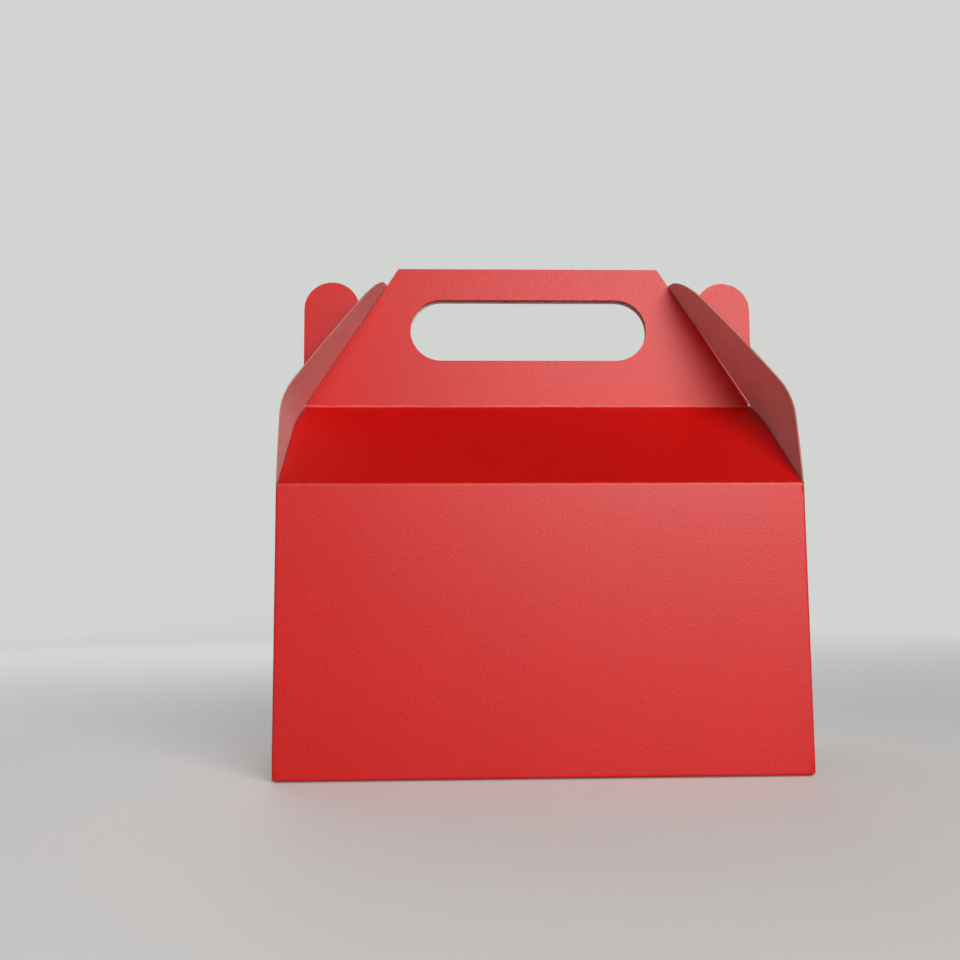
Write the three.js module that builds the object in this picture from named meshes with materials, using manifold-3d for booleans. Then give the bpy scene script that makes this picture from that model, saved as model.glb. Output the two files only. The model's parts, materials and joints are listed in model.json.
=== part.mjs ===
// A gable box for candy, folded from one die-cut sheet of coated card. Millimetres, +Z up.
// The origin is at the middle of the bottom, on the surface that the box stands on, and -Y is its front.
import * as THREE from "three";
import { mergeVertices } from "three/addons/utils/BufferGeometryUtils.js";
import Module from "manifold-3d";

const wasm = await Module();
wasm.setup();

// The sheet
const cardThickness = 0.45;
const creaseRadius = 0.3; // inside a fold
const seatGap = 0.3; // between the end flaps and what they close against

// The body
const boxLength = 160; // outside, along X
const boxDepth = 90; // outside, along Y
const wallHeight = 87; // up to the ridge of the roof panels' lower folds
const glueFlapWidth = 14;
const glueFlapTaper = 4;
const glueOverlap = 0.02; // how far the glued layers sink into each other

// The roof and the two-layer handle
const roofRise = 31.4; // from the walls' top to the fold of the handle
const handleHeight = 48.7; // from that fold to the top edge
const handleLean = 1.3; // degrees, each layer away from the other
const foldGap = 0.3; // between the two layers at their fold
const handleCornerRadius = 0.5;
const handHoleLength = 82.5;
const handHoleHeight = 21.5;
const handHoleCentre = 27; // above the fold

// The ears, one at each end of each handle layer
const earInset = 2; // from the end panel's face to the ear's outer edge
const earWidth = 19.2;
const earTop = 43.8; // above the fold
const earStep = 1; // above the fold, where the ear starts
const earStepRadius = 0.4;
const notchRadius = 0.6;

// The slotted end flaps
const tipBridge = 3.6; // the card left between the slot and the tip
const flapKneeHeight = 28.6; // above the hinge, where its upright and its leaning line would cross
const flapLean = 33.2; // degrees, of the part above the knee
const flapBendRadius = 22; // the knee, on the card's inner face
const flapInset = 0.5; // from the front and back panels' faces to the flap's corners
const flapSideRadius = 230; // the long curve of its front and back edges
const flapTipRadius = 24;
const slotCornerRadius = 0.8;
const slotBelowFold = 0.8; // how far the slot reaches below the fold of the handle

// The lock bottom: four panels, named by the wall that each hangs from
const bottomRelief = 1; // each panel's corner stands in from the wall's end
const layerGap = 0.1;
const layerRun = 11; // over which a panel climbs to its own layer
const frontPanelReach = 43;
const rearPanelReach = 57;
const endPanelReach = 44;
const panelTaper = 2.5;
const tongueWidth = 56;
const tongueReach = 61; // from the front wall to the tongue's end
const tongueTaper = 5;
const notchWidth = 62; // of the rear panel's cut-out for the tongue
const notchDepth = 14;
const cutRadius = 4; // at the corners of the tongue and its cut-out
const endPanelSlant = 38; // along the end panel's rear side
const endPanelFrontCut = 8;

const cardRed = 0xcf2a26;
const cardRoughness = 0.42;

// Sizes that follow
const halfLength = boxLength / 2;
const halfDepth = boxDepth / 2;
const foldHeight = wallHeight + roofRise;
const outerCreaseRadius = creaseRadius + cardThickness;
const roofSlope = Math.atan2(roofRise, halfDepth - foldGap / 2 - cardThickness);
// The walls are cut off where the roof panels' lower folds begin to turn.
const wallTop = wallHeight - outerCreaseRadius * Math.tan((Math.PI / 2 - roofSlope) / 2);
const layerStep = cardThickness + layerGap;
const hingeHeight = wallTop + seatGap / 2;
const lean = THREE.MathUtils.degToRad(flapLean);
const layerLean = THREE.MathUtils.degToRad(handleLean);

const lap = 1.5; // how far one built piece of the sheet runs on into the next
const through = 5; // how far a cutter passes the card
const arcStep = THREE.MathUtils.degToRad(9);

// Straight runs joined by arcs. A corner is [x, y] or [x, y, radius].
function roundedPath(corners, closed) {
  const points = [];
  const count = corners.length;
  corners.forEach(([x, y, radius = 0], i) => {
    const corner = new THREE.Vector2(x, y);
    const isEnd = !closed && (i === 0 || i === count - 1);
    if (isEnd || radius === 0) {
      points.push(corner);
      return;
    }
    const [beforeX, beforeY] = corners[(i + count - 1) % count];
    const [afterX, afterY] = corners[(i + 1) % count];
    const back = new THREE.Vector2(beforeX - x, beforeY - y).normalize();
    const ahead = new THREE.Vector2(afterX - x, afterY - y).normalize();
    const half = Math.acos(THREE.MathUtils.clamp(back.dot(ahead), -1, 1)) / 2;
    const turn = Math.PI - 2 * half;
    const centre = back.clone().add(ahead).normalize().multiplyScalar(radius / Math.sin(half)).add(corner);
    const start = back.clone().multiplyScalar(radius / Math.tan(half)).add(corner).sub(centre);
    const way = Math.sign(ahead.cross(back));
    const steps = Math.max(2, Math.ceil(turn / arcStep));
    for (let step = 0; step <= steps; step++) {
      const spoke = start.clone().rotateAround(new THREE.Vector2(), (way * turn * step) / steps);
      points.push(spoke.add(centre));
    }
  });
  return points;
}

// The same corners moved sideways, to the right of the way they are listed.
function offsetCorners(corners, distance) {
  return corners.map(([x, y], i) => {
    const directions = [];
    if (i > 0) directions.push(new THREE.Vector2(x - corners[i - 1][0], y - corners[i - 1][1]));
    if (i < corners.length - 1) directions.push(new THREE.Vector2(corners[i + 1][0] - x, corners[i + 1][1] - y));
    const normals = directions.map((d) => new THREE.Vector2(d.y, -d.x).normalize());
    const middle = normals[0].clone().add(normals.at(-1)).normalize();
    const reach = distance / middle.dot(normals[0]);
    return [x + middle.x * reach, y + middle.y * reach];
  });
}

// The section of a folded sheet. The corners are those of its outer face, with the card to their right.
function foldedSection(corners) {
  const inner = offsetCorners(corners, cardThickness);
  const withRadii = (line, isOuter) =>
    line.map(([x, y], i) => {
      if (i === 0 || i === line.length - 1) return [x, y];
      const before = new THREE.Vector2(x - line[i - 1][0], y - line[i - 1][1]);
      const after = new THREE.Vector2(line[i + 1][0] - x, line[i + 1][1] - y);
      const cardIsInside = before.cross(after) < 0;
      return [x, y, cardIsInside === isOuter ? outerCreaseRadius : creaseRadius];
    });
  const outerSide = roundedPath(withRadii(corners, true), false);
  const innerSide = roundedPath(withRadii(inner, false), false);
  return new THREE.Shape([...outerSide, ...innerSide.reverse()]);
}

const planAxes = new THREE.Matrix4();
const frontAxes = new THREE.Matrix4().makeBasis(
  new THREE.Vector3(1, 0, 0),
  new THREE.Vector3(0, 0, 1),
  new THREE.Vector3(0, -1, 0),
);
const sideAxes = new THREE.Matrix4().makeBasis(
  new THREE.Vector3(0, 1, 0),
  new THREE.Vector3(0, 0, 1),
  new THREE.Vector3(1, 0, 0),
);

function solidOf(geometry) {
  const bare = new THREE.BufferGeometry();
  bare.setAttribute("position", geometry.getAttribute("position"));
  bare.setIndex(geometry.getIndex());
  const merged = mergeVertices(bare, 1e-5);
  const mesh = new wasm.Mesh({
    numProp: 3,
    vertProperties: merged.getAttribute("position").array,
    triVerts: new Uint32Array(merged.getIndex().array),
  });
  return new wasm.Manifold(mesh);
}

// A shape drawn in one of the three views above and given depth along that view, from one level to another.
function extruded(shape, axes, from, to) {
  const geometry = new THREE.ExtrudeGeometry(shape, { depth: to - from, bevelEnabled: false });
  geometry.translate(0, 0, from);
  geometry.applyMatrix4(axes);
  return solidOf(geometry);
}

function rounded(corners) {
  return new THREE.Shape(roundedPath(corners, true));
}

// Rows of four corners, skinned from row to row and capped at both ends.
function lofted(rows) {
  const corners = rows[0].length;
  const positions = rows.flat().flatMap((point) => point.toArray());
  const index = [];
  for (let row = 0; row + 1 < rows.length; row++) {
    for (let i = 0; i < corners; i++) {
      const a = row * corners + i;
      const b = row * corners + ((i + 1) % corners);
      index.push(a, b, b + corners, a, b + corners, a + corners);
    }
  }
  const last = (rows.length - 1) * corners;
  index.push(0, 2, 1, 0, 3, 2);
  index.push(last, last + 1, last + 2, last, last + 2, last + 3);
  const geometry = new THREE.BufferGeometry();
  geometry.setAttribute("position", new THREE.Float32BufferAttribute(positions, 3));
  geometry.setIndex(index);
  return solidOf(geometry);
}

// The end flap's run, seen from the front, as distances from its hinge: across, outwards, and up.
// It stands up from its fold, bends at the knee and leans inwards over the handle's slanted edge.
const kneeRun = flapBendRadius * Math.tan(lean / 2);
const flapFoot = seatGap / 2; // the card starts this far above the hinge
const kneeStart = flapKneeHeight - kneeRun;
const kneeEnd = kneeStart + flapBendRadius * Math.sin(lean);
const uprightLength = kneeStart - flapFoot;
const kneeLength = flapBendRadius * lean;

// A point of the flap in its hinge's frame: along the card, to one side, and out from its inner face.
function flapPoint(along, side, out) {
  const turn = THREE.MathUtils.clamp((along - uprightLength) / flapBendRadius, 0, lean);
  const before = Math.min(along, uprightLength);
  const after = Math.max(0, along - uprightLength - kneeLength);
  const radius = flapBendRadius + out;
  const across = radius * Math.cos(turn) - flapBendRadius - cardThickness - after * Math.sin(lean);
  const up = flapFoot + before + radius * Math.sin(turn) + after * Math.cos(lean);
  return new THREE.Vector3(across, side, up);
}

// How far from the middle plane the flap's inner face stands at a height over the ground.
function flapInnerAt(height) {
  const up = height - hingeHeight;
  const upright = halfLength - cardThickness;
  if (up <= kneeStart) return upright;
  if (up <= kneeEnd) {
    const rise = up - kneeStart;
    return upright - flapBendRadius + Math.sqrt(flapBendRadius ** 2 - rise ** 2);
  }
  return upright - flapBendRadius * (1 - Math.cos(lean)) - (up - kneeEnd) * Math.tan(lean);
}

// The distance along the card, on its inner face, at a height over the ground.
function flapAlongAt(height) {
  const up = height - hingeHeight;
  if (up <= kneeStart) return up - flapFoot;
  if (up <= kneeEnd) return uprightLength + flapBendRadius * Math.asin((up - kneeStart) / flapBendRadius);
  return uprightLength + kneeLength + (up - kneeEnd) / Math.cos(lean);
}

// Where a roof panel or a handle layer is cut so that the flap can close over it.
function closedEdgeAt(height) {
  return flapInnerAt(height) - seatGap;
}

// The height at which that cut, on the flap's leaning part, comes this close to the middle plane.
function closedEdgeHeight(distance) {
  const leanStart = hingeHeight + kneeEnd;
  return leanStart + (closedEdgeAt(leanStart) - distance) / Math.tan(lean);
}

// The outer face of a handle layer, measured from the middle plane.
function handleFaceAt(height) {
  return foldGap / 2 + cardThickness + (height - foldHeight) * Math.tan(layerLean);
}

// The right half of a roof panel and handle layer as seen from the front, from the bottom up.
function gableHalf() {
  const earOuter = halfLength - earInset;
  const earInner = earOuter - earWidth;
  const earRadius = earWidth / 2;
  const earStart = foldHeight + earStep;
  const earHeight = foldHeight + earTop;
  const topHeight = foldHeight + handleHeight;
  const kneeFrom = hingeHeight + kneeStart;
  const kneeSteps = 6;
  const side = [[closedEdgeAt(wallTop - lap), wallTop - 2 * lap]];
  for (let step = 0; step <= kneeSteps; step++) {
    const height = kneeFrom + ((earStart - kneeFrom) * step) / kneeSteps;
    side.push([closedEdgeAt(height), height]);
  }
  return [
    ...side,
    [earOuter, earStart, earStepRadius],
    [earOuter, earHeight, earRadius],
    [earInner, earHeight, earRadius],
    [earInner, closedEdgeHeight(earInner), notchRadius],
    [closedEdgeAt(topHeight), topHeight, handleCornerRadius],
  ];
}

// One wall's top: its fold, the roof panel, the fold of the handle and one handle layer.
function frontGable() {
  const topHeight = foldHeight + handleHeight;
  const section = foldedSection([
    [-halfDepth, wallTop - lap],
    [-halfDepth, wallHeight],
    [-handleFaceAt(foldHeight), foldHeight],
    [-handleFaceAt(topHeight), topHeight],
  ]);
  const right = gableHalf();
  const left = right.map(([x, z, radius]) => [-x, z, radius]).reverse();
  const outline = rounded([...right, ...left]);
  const holeX = handHoleLength / 2;
  const holeZ = handHoleHeight / 2;
  const holeMiddle = foldHeight + handHoleCentre;
  const hole = rounded([
    [-holeX, holeMiddle - holeZ, holeZ],
    [holeX, holeMiddle - holeZ, holeZ],
    [holeX, holeMiddle + holeZ, holeZ],
    [-holeX, holeMiddle + holeZ, holeZ],
  ]);
  const sheet = extruded(section, sideAxes, -halfLength, halfLength);
  const silhouette = extruded(outline, frontAxes, -through, halfDepth + through);
  const handHole = extruded(hole, frontAxes, -through, halfDepth);
  return sheet.intersect(silhouette).subtract(handHole);
}

// The four walls, and the glue flap of the back wall inside the left end panel.
function walls() {
  const foot = outerCreaseRadius;
  const seam = -halfLength + cardThickness - glueOverlap;
  const band = foldedSection([
    [-lap, halfDepth],
    [halfLength, halfDepth],
    [halfLength, -halfDepth],
    [-halfLength, -halfDepth],
    [-halfLength, halfDepth],
  ]);
  const corner = foldedSection([
    [seam, halfDepth - lap],
    [seam, halfDepth],
    [lap, halfDepth],
  ]);
  const glueEnd = halfDepth - cardThickness - glueFlapWidth;
  const glueStart = halfDepth - lap;
  const glueFlap = rounded([
    [glueEnd, foot + glueFlapTaper],
    [glueStart, foot],
    [glueStart, wallTop],
    [glueEnd, wallTop - glueFlapTaper],
  ]);
  return extruded(band, planAxes, foot, wallTop)
    .add(extruded(corner, planAxes, foot, wallTop))
    .add(extruded(glueFlap, sideAxes, seam, seam + cardThickness));
}

// A bottom panel as if it hung from the front wall: its fold, its climb to its own layer, and its cut shape.
function bottomPanel(wallDistance, layer, reach, outline) {
  const level = layer * layerStep;
  const section = foldedSection([
    [-wallDistance + reach, level],
    [-wallDistance + layerRun, level],
    [-wallDistance, 0],
    [-wallDistance, outerCreaseRadius + lap],
  ]);
  const width = Math.max(halfLength, halfDepth);
  return extruded(section, sideAxes, -width, width).intersect(extruded(outline, planAxes, -lap, through));
}

function lockBottom() {
  const foldX = halfLength - bottomRelief;
  const foldY = halfDepth - bottomRelief;
  const tongueX = tongueWidth / 2;
  const notchX = notchWidth / 2;
  const frontEdge = -halfDepth + frontPanelReach;

  const frontOutline = rounded([
    [-foldX, -halfDepth - lap],
    [foldX, -halfDepth - lap],
    [foldX - panelTaper, frontEdge, cutRadius],
    [-foldX + panelTaper, frontEdge, cutRadius],
  ]);
  const front = bottomPanel(halfDepth, 0, frontPanelReach, frontOutline);

  // The tongue leaves the front panel in the rear panel's cut-out and ends on top of the rear panel.
  const notchEdge = halfDepth - rearPanelReach;
  const tongueLevel = 3 * layerStep;
  const tongueStart = notchEdge - lap;
  const tongueEnd = -halfDepth + tongueReach;
  const tongueSection = foldedSection([
    [tongueEnd, tongueLevel],
    [notchEdge + notchDepth - cutRadius / 2, tongueLevel],
    [notchEdge, 0],
    [tongueStart - lap, 0],
  ]);
  const tongueOutline = rounded([
    [-tongueX, tongueStart],
    [tongueX, tongueStart],
    [tongueX - tongueTaper, tongueEnd, cutRadius],
    [-tongueX + tongueTaper, tongueEnd, cutRadius],
  ]);
  const tongue = extruded(tongueSection, sideAxes, -halfLength, halfLength).intersect(
    extruded(tongueOutline, planAxes, -lap, through),
  );
  // The front panel stops short beside the tongue, where the tongue has started to climb.
  const tongueRoom = rounded([
    [-tongueX, tongueStart],
    [tongueX, tongueStart],
    [tongueX, frontEdge + lap],
    [-tongueX, frontEdge + lap],
  ]);
  const frontWithTongue = front.subtract(extruded(tongueRoom, planAxes, -lap, through)).add(tongue);

  // Drawn as if it hung from the front wall, then turned half round to the back.
  const rearEdge = -halfDepth + rearPanelReach;
  const rearOutline = rounded([
    [-foldX, -halfDepth - lap],
    [foldX, -halfDepth - lap],
    [foldX - panelTaper, rearEdge, cutRadius],
    [notchX, rearEdge, cutRadius],
    [notchX - cutRadius, rearEdge - notchDepth, cutRadius],
    [-notchX + cutRadius, rearEdge - notchDepth, cutRadius],
    [-notchX, rearEdge, cutRadius],
    [-foldX + panelTaper, rearEdge, cutRadius],
  ]);
  const rear = bottomPanel(halfDepth, 2, rearPanelReach, rearOutline).rotate([0, 0, 180]);

  // The right one, as if it hung from the front wall; the left one is its mirror image.
  const endOutline = (side) => {
    const corners = [
      [-foldY, -halfLength - lap],
      [foldY, -halfLength - lap],
      [foldY, -halfLength + endPanelReach - endPanelSlant],
      [foldY - endPanelSlant, -halfLength + endPanelReach, cutRadius],
      [-foldY + endPanelFrontCut, -halfLength + endPanelReach, cutRadius],
      [-foldY, -halfLength + endPanelReach - endPanelFrontCut, cutRadius],
    ].map(([x, y, radius]) => [side * x, y, radius]);
    return rounded(side < 0 ? corners.reverse() : corners);
  };
  const right = bottomPanel(halfLength, 1, endPanelReach, endOutline(1)).rotate([0, 0, 90]);
  const left = bottomPanel(halfLength, 1, endPanelReach, endOutline(-1)).rotate([0, 0, -90]);
  return frontWithTongue.add(rear).add(right).add(left);
}

// The flap's half-width along its length: a long side curve that runs into the round tip.
const flapBase = halfDepth - flapInset;
const flapLength = slotRange()[1] + tipBridge; // along the card, from its fold to the tip
const tipCentre = flapLength - flapTipRadius;
const baseToTip = Math.hypot(flapBase, tipCentre);
const sideToTip = flapSideRadius - flapTipRadius;
const sideAngle =
  Math.atan2(tipCentre, -flapBase) +
  Math.acos((baseToTip ** 2 + flapSideRadius ** 2 - sideToTip ** 2) / (2 * baseToTip * flapSideRadius));
const sideCentre = new THREE.Vector2(
  flapBase + flapSideRadius * Math.cos(sideAngle),
  flapSideRadius * Math.sin(sideAngle),
);
const tipFrom = Math.asin((tipCentre - sideCentre.y) / sideToTip); // the angle where the tip's arc takes over

function flapHalfWidth(along) {
  if (along > tipCentre + flapTipRadius * Math.sin(tipFrom)) {
    return Math.sqrt(Math.max(0, flapTipRadius ** 2 - (along - tipCentre) ** 2));
  }
  return sideCentre.x + Math.sqrt(flapSideRadius ** 2 - (along - sideCentre.y) ** 2);
}

// Rows across the flap, at the given distances along it and between two levels over its inner face.
function flapRows(stations, halfWidthAt, from, to) {
  return stations.map((along) => {
    const width = halfWidthAt(along);
    return [
      flapPoint(along, -width, from),
      flapPoint(along, -width, to),
      flapPoint(along, width, to),
      flapPoint(along, width, from),
    ];
  });
}

function evenly(from, to, steps) {
  return Array.from({ length: steps + 1 }, (_, i) => from + ((to - from) * i) / steps);
}

// The slot takes both ears. It ends just past the ears' farthest point from the hinge, so the flap swings clear.
function slotRange() {
  const earRadius = earWidth / 2;
  const earAcross = -earInset - earRadius;
  const earUp = foldHeight + earTop - earRadius - hingeHeight;
  const earReach = Math.hypot(earAcross, earUp) + earRadius + seatGap;
  const from = flapAlongAt(foldHeight - slotBelowFold);
  // Along the leaning part, the distance from the hinge grows as on a straight line.
  const start = uprightLength + kneeLength;
  const knee = flapPoint(start, 0, cardThickness);
  const direction = new THREE.Vector3(-Math.sin(lean), 0, Math.cos(lean));
  const toward = knee.dot(direction);
  const to = start - toward + Math.sqrt(toward ** 2 - knee.lengthSq() + earReach ** 2) + slotCornerRadius / 2;
  return [from, to];
}

// The right end flap, in its hinge's frame.
function endFlap() {
  const tipStart = tipCentre + flapTipRadius * Math.sin(tipFrom);
  const kneeTo = uprightLength + kneeLength;
  const tipSteps = 18;
  const tipTo = THREE.MathUtils.degToRad(88.8); // leaves a 1 mm wide end, where a full arc would close on itself
  const stations = [
    ...evenly(0, uprightLength, 4),
    ...evenly(uprightLength, kneeTo, 10).slice(1),
    ...evenly(kneeTo, tipStart, 6).slice(1),
    ...evenly(tipFrom, tipTo, tipSteps)
      .slice(1)
      .map((angle) => tipCentre + flapTipRadius * Math.sin(angle)),
  ];
  const sheet = lofted(flapRows(stations, flapHalfWidth, 0, cardThickness));

  const [from, to] = slotRange();
  const slotHalf = handleFaceAt(foldHeight + earTop) + seatGap;
  const slotHalfAt = (along) => {
    const fromEnd = Math.min(along - from, to - along);
    const inCorner = Math.max(0, slotCornerRadius - fromEnd);
    return slotHalf - slotCornerRadius + Math.sqrt(Math.max(0, slotCornerRadius ** 2 - inCorner ** 2));
  };
  const cornerStations = evenly(0, Math.PI / 2, 4).map((angle) => slotCornerRadius * (1 - Math.cos(angle)));
  const slotStations = [
    ...cornerStations.map((step) => from + step),
    ...stations.filter((along) => along > from + slotCornerRadius && along < to - slotCornerRadius),
    ...cornerStations.map((step) => to - step).reverse(),
  ];
  const slot = lofted(flapRows(slotStations, slotHalfAt, -lap, cardThickness + lap));
  return sheet.subtract(slot);
}

function cardMesh(name, solid) {
  const made = solid.getMesh();
  const geometry = new THREE.BufferGeometry();
  geometry.setAttribute("position", new THREE.BufferAttribute(made.vertProperties, 3));
  geometry.setIndex(new THREE.BufferAttribute(made.triVerts, 1));
  const material = new THREE.MeshStandardMaterial({ color: cardRed, roughness: cardRoughness, metalness: 0 });
  const mesh = new THREE.Mesh(geometry, material);
  mesh.name = name;
  return mesh;
}

const gable = frontGable();
const carton = walls().add(gable).add(gable.rotate([0, 0, 180])).add(lockBottom());

const candyBox = new THREE.Group();
candyBox.add(cardMesh("carton", carton));
for (const [name, side] of [
  ["left_end_flap", -1],
  ["right_end_flap", 1],
]) {
  const hinge = new THREE.Group();
  hinge.position.set(side * halfLength, 0, hingeHeight);
  hinge.rotation.z = side < 0 ? Math.PI : 0;
  hinge.add(cardMesh(name, endFlap()));
  candyBox.add(hinge);
}

export default candyBox;
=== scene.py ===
# A gable box for candy, folded in code from one die-cut blank of laminated card.
import json
from bisect import bisect_right
from math import acos, asin, atan2, ceil, cos, exp, hypot, pi, radians, sin, sqrt, tan

import bpy
import numpy as np
from mathutils import Matrix, Vector, noise
from mathutils.geometry import delaunay_2d_cdt


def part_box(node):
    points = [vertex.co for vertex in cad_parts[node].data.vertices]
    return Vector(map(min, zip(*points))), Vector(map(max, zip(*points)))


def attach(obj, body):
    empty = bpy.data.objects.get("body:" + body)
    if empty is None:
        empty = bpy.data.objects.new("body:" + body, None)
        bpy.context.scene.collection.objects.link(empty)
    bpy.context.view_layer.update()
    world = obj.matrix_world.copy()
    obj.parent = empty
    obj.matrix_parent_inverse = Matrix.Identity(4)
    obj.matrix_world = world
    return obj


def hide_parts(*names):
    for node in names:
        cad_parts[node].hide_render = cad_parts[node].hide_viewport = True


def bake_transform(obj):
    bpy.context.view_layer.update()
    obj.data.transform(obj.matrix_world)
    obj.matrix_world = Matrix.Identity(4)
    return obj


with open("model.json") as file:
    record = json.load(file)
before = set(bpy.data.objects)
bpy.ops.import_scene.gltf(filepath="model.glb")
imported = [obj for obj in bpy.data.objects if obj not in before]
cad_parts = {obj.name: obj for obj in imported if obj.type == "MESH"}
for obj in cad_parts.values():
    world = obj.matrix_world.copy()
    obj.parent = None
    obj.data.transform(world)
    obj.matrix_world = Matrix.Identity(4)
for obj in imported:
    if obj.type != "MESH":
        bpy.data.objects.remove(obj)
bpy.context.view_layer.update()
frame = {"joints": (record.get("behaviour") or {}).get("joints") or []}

mm = 0.001  # the card is laid out in millimetres

card = {
    "thickness": 0.45,
    "foldRadius": 0.3,  # inside a fold
    "seatGap": 0.3,  # between the end flaps and what they close against
    "pointSpacing": 4.0,
    "flapSpacing": 3.0,
    "edgeSpacing": 1.5,
    "rowSpacing": 2.5,  # along a fold
}


# Camera, stage and lamps

def buildCamera():
    shot = {
        "place": Vector((-0.02949, -0.35601, 0.05402)),
        "yaw": radians(-1.966),
        "pitch": radians(6.24),
        "roll": radians(-0.363),
        "lens": 39.0,
        "sensor": 36.0,
    }
    yaw, pitch, roll = shot["yaw"], shot["pitch"], shot["roll"]
    ahead = Vector((-sin(yaw) * cos(pitch), cos(yaw) * cos(pitch), sin(pitch)))
    level = Vector((cos(yaw), sin(yaw), 0))
    upright = level.cross(ahead)
    right = cos(roll) * level + sin(roll) * upright
    up = cos(roll) * upright - sin(roll) * level
    data = bpy.data.cameras.new("camera")
    data.lens = shot["lens"]
    data.sensor_width = shot["sensor"]
    data.clip_start = 0.01
    camera = bpy.data.objects.new("camera", data)
    turned = Matrix((right, up, -ahead)).transposed()
    camera.matrix_world = Matrix.Translation(shot["place"]) @ turned.to_4x4()
    bpy.context.scene.collection.objects.link(camera)
    bpy.context.scene.camera = camera


def areaLamp(name, place, aim, width, height, watts, color):
    data = bpy.data.lights.new(name, "AREA")
    data.shape = "RECTANGLE"
    data.size = width
    data.size_y = height
    data.energy = watts
    data.color = color
    lamp = bpy.data.objects.new(name, data)
    lamp.visible_camera = False
    lamp.location = place
    lamp.rotation_euler = (Vector(aim) - Vector(place)).to_track_quat("-Z", "Y").to_euler()
    bpy.context.scene.collection.objects.link(lamp)


def buildLamps():
    middle = (0, 0, 0.08)
    areaLamp("window", (0.31, -0.9, 0.40), middle, 0.66, 0.50, 9.2, (1.0, 0.98, 0.96))
    areaLamp("rear_fill", (-0.25, 0.85, 0.42), middle, 1.2, 0.5, 4.0, (0.97, 0.98, 1.0))
    areaLamp("left_fill", (-1.0, -0.9, 0.3), middle, 0.8, 0.8, 2.0, (0.97, 0.98, 1.0))


# Shader nodes written as expressions

class Wire:
    def __init__(self, shader, node, output=0):
        self.shader = shader
        self.node = node
        self.socket = node.outputs[output] if node.outputs else None

    def out(self, name):
        return Wire(self.shader, self.node, name)

    def __add__(self, other):
        return self.shader.math("ADD", self, other)

    def __sub__(self, other):
        return self.shader.math("SUBTRACT", self, other)

    def __rsub__(self, other):
        return self.shader.math("SUBTRACT", other, self)

    def __mul__(self, other):
        return self.shader.math("MULTIPLY", self, other)

    __radd__ = __add__
    __rmul__ = __mul__


class Shader:
    def __init__(self, data):
        data.use_nodes = True
        self.tree = data.node_tree
        self.tree.nodes.clear()

    def node(self, kind, settings, sockets):
        made = self.tree.nodes.new(kind)
        for name, value in settings.items():
            setattr(made, name, value)
        for name, value in sockets.items():
            if isinstance(value, Wire):
                self.tree.links.new(value.socket, made.inputs[name])
            else:
                made.inputs[name].default_value = value
        return Wire(self, made)

    def math(self, operation, first, second):
        return self.node("ShaderNodeMath", {"operation": operation}, {0: first, 1: second})

    # a Mix node's sockets for colours: factor 0, A 6, B 7 and result 2
    def mixColor(self, mask, first, second):
        sockets = {0: mask, 6: first, 7: second}
        return self.node("ShaderNodeMix", {"data_type": "RGBA"}, sockets).out(2)

    def noiseAt(self, place, scale, detail, roughness=0.5):
        sockets = {"Vector": place, "Scale": scale, "Detail": detail, "Roughness": roughness}
        return self.node("ShaderNodeTexNoise", {}, sockets)

    def remap(self, value, low, high):
        sockets = {"Value": value, "From Min": low, "From Max": high}
        return self.node("ShaderNodeMapRange", {"clamp": True}, sockets)


def newFinish(name):
    material = bpy.data.materials.new(name)
    return material, Shader(material)


def closeFinish(shader, surface):
    shader.node("ShaderNodeOutputMaterial", {}, {"Surface": surface})


# Red film over white board: a soft sheen that breaks up into fine grain, paler where it is creased, from worn
# film and partly from a painted highlight along the folds
def laminatedFace():
    film = {
        "red": (0.64, 0.0030, 0.0010, 1),
        "deepRed": (0.54, 0.0008, 0.0003, 1),
        "creased": (0.80, 0.14, 0.11, 1),
        "cloudScale": 22,
        "fleckScale": 420,
        "grainScale": 1500,
        "roughness": 0.43,
        "sheen": 0.45,
    }
    material, shader = newFinish("laminated_red")
    place = shader.node("ShaderNodeTexCoord", {}, {}).out("Object")
    cloud = shader.noiseAt(place, film["cloudScale"], 3)
    fleck = shader.noiseAt(place, film["fleckScale"], 3, 0.6)
    grain = shader.noiseAt(place, film["grainScale"], 2, 0.6)
    crease = shader.node("ShaderNodeAttribute", {"attribute_name": "creaseWearAndHighlight"}, {}).out("Fac")
    flecked = 0.75 + shader.remap(fleck, 0.3, 0.7) * 0.4
    # paler along the creases: worn film, and partly a painted highlight
    wearAndHighlight = shader.remap(crease * flecked, 0.2, 1.1)
    shift = shader.remap(cloud * 0.4 + grain * 0.6, 0.3, 0.7)
    red = shader.mixColor(shift, film["deepRed"], film["red"])
    color = shader.mixColor(wearAndHighlight, red, film["creased"])
    roughness = film["roughness"] + (grain - 0.5) * 0.16 + (fleck - 0.5) * 0.06 + (cloud - 0.5) * 0.04
    height = grain + fleck * 0.1
    bump = shader.node("ShaderNodeBump", {}, {"Strength": 0.5, "Distance": 0.0001, "Height": height})
    surface = shader.node("ShaderNodeBsdfPrincipled", {}, {
        "Base Color": color, "Roughness": roughness, "Normal": bump, "Specular IOR Level": film["sheen"],
    })
    closeFinish(shader, surface)
    return material


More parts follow.
